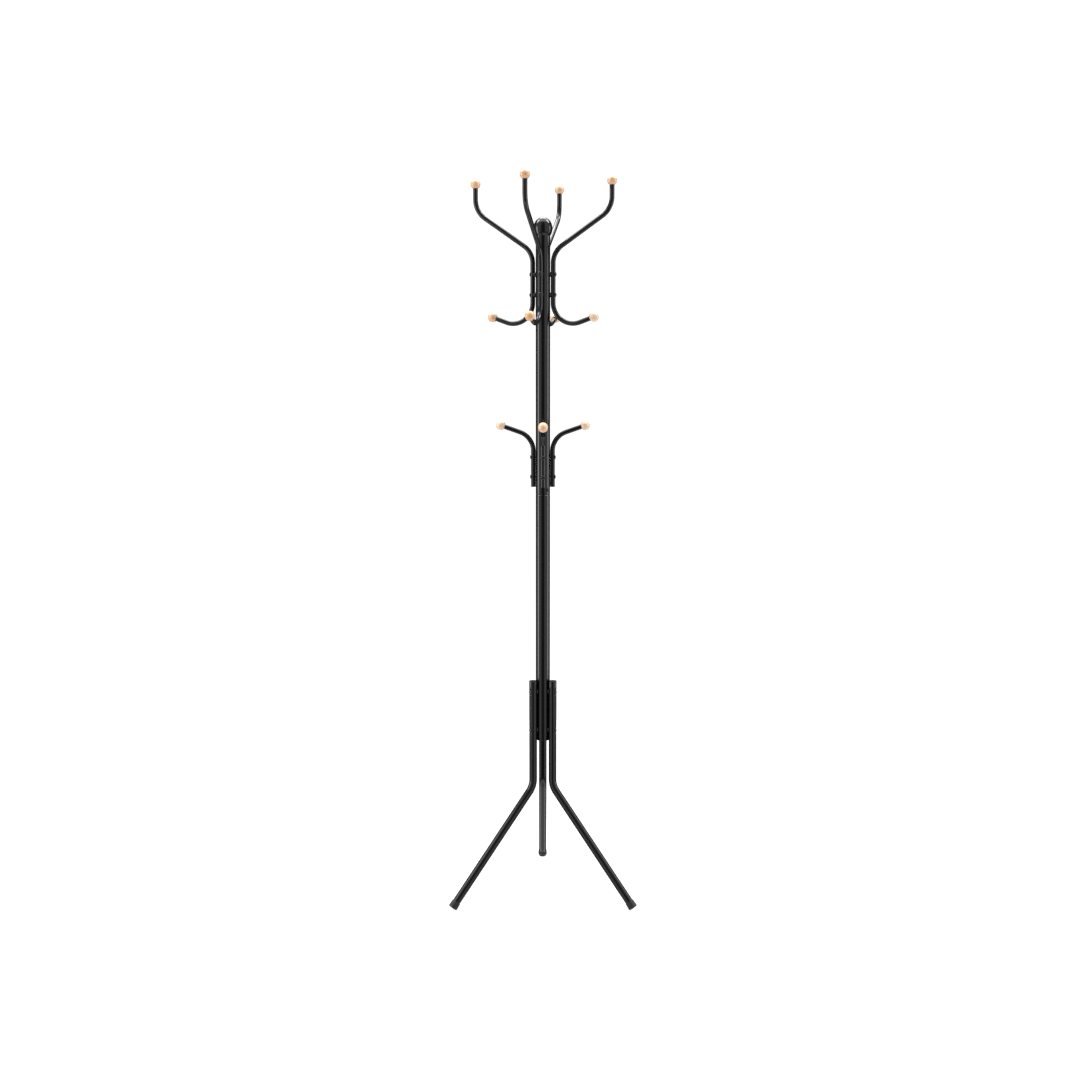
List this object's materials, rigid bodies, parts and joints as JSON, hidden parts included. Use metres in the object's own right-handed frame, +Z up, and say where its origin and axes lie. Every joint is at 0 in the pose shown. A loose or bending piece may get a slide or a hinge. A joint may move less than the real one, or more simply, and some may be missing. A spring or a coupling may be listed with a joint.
{
  "type": "standing coat rack",
  "caption": "Free-standing coat rack: black steel tube pole on splayed bent-tube legs, with double hooks round the head, single hooks at mid height and a turned wooden ball on every hook end.",
  "frame": {"origin": "on the floor, under the middle of the rack's overall outline; the pole's axis is 46.04 mm in front of it, at X = 0", "axes": "+Z up along the pole; +Y towards the rear leg, so that the front, with a leg on each side, faces -Y; +X to the right seen from the front"},
  "size_m": [0.474, 0.451, 1.82],
  "materials": {
    "black_paint": "glossy black powder coat on steel tube",
    "gloss_plastic": "glossy black moulded plastic",
    "foot_rubber": "matt black rubber",
    "beech": "pale turned beech, thin clear lacquer",
    "black_bolt": "black finished steel",
    "spacer_plastic": "matt black moulded plastic",
    "zinc_steel": "bright zinc-plated steel",
    "spring_steel": "bare spring steel strip"
  },
  "bodies": {
    "rack": {"lower_pole": "black_paint", "upper_pole": "black_paint", "pole_top_cap": "gloss_plastic", "pole_bottom_plug": "gloss_plastic", "button_spring": "spring_steel", "leg_rear": "black_paint", "leg_rear_top_plug": "gloss_plastic", "leg_rear_foot_cap": "foot_rubber", "leg_front_left": "black_paint", "leg_front_left_top_plug": "gloss_plastic", "leg_front_left_foot_cap": "foot_rubber", "leg_front_right": "black_paint", "leg_front_right_top_plug": "gloss_plastic", "leg_front_right_foot_cap": "foot_rubber", "leg_inserts": "zinc_steel", "leg_spacers": "spacer_plastic", "leg_bolts": "black_bolt", "upper_hook_right": "black_paint", "peg_ball_right": "beech", "crook_ball_right": "beech", "lower_hook_right": "black_paint", "lower_ball_right": "beech", "upper_hook_back": "black_paint", "peg_ball_back": "beech", "crook_ball_back": "beech", "lower_hook_back": "black_paint", "lower_ball_back": "beech", "upper_hook_left": "black_paint", "peg_ball_left": "beech", "crook_ball_left": "beech", "lower_hook_left": "black_paint", "lower_ball_left": "beech", "upper_hook_front": "black_paint", "peg_ball_front": "beech", "crook_ball_front": "beech", "lower_hook_front": "black_paint", "lower_ball_front": "beech", "upper_hook_spacers": "spacer_plastic", "upper_hook_inserts": "zinc_steel", "upper_hook_bolts": "black_bolt", "lower_hook_inserts": "zinc_steel", "lower_hook_bolts": "black_bolt", "lower_hook_end_plugs": "gloss_plastic"},
    "button": {"snap_button": "black_bolt"}
  },
  "joints": [
    {"name": "button_press", "type": "slide", "parent": "rack", "child": "button", "axis": [-0.7071, 0.7071, 0], "range_m": [0, 0.0042], "stiffness_N_per_m": 2500, "springref_m": -0.002, "deforming": ["button_spring"]}
  ]
}
